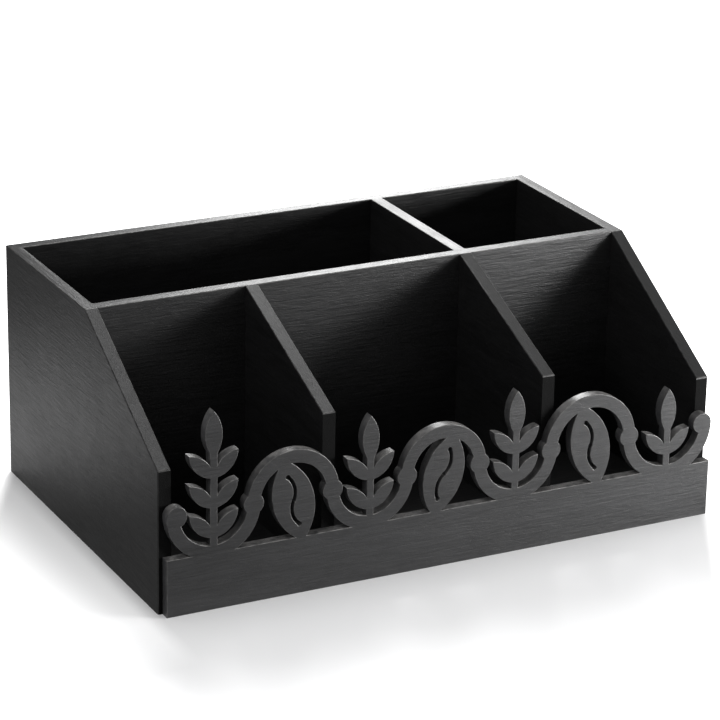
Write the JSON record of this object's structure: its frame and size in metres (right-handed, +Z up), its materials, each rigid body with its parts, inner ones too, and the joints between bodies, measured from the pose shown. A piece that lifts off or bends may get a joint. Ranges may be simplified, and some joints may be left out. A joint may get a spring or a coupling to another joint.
{
  "type": "countertop organizer",
  "caption": "Wooden countertop organizer with open compartments in two rows, slanted front dividers and a pierced front board.",
  "frame": {"origin": "bottom centre of the whole object, on the surface it stands on", "axes": "+X to the right along the width, +Y to the back, +Z up; the pierced front board faces -Y"},
  "size_m": [0.4, 0.264, 0.165],
  "materials": {
    "stained_case": "black stain under a satin lacquer",
    "stained_bottom": "black stain under a satin lacquer",
    "stained_dividers": "black stain under a satin lacquer",
    "stained_front": "black stain under a satin lacquer",
    "pin_wood": "bare"
  },
  "bodies": {
    "root": {"left_side": "stained_case", "right_side": "stained_case", "back_panel": "stained_case", "bottom_panel": "stained_bottom", "long_divider": "stained_dividers", "back_divider": "stained_dividers", "front_divider_left": "stained_dividers", "front_divider_right": "stained_dividers", "front_board": "stained_front", "front_pins": "pin_wood"}
  },
  "joints": []
}
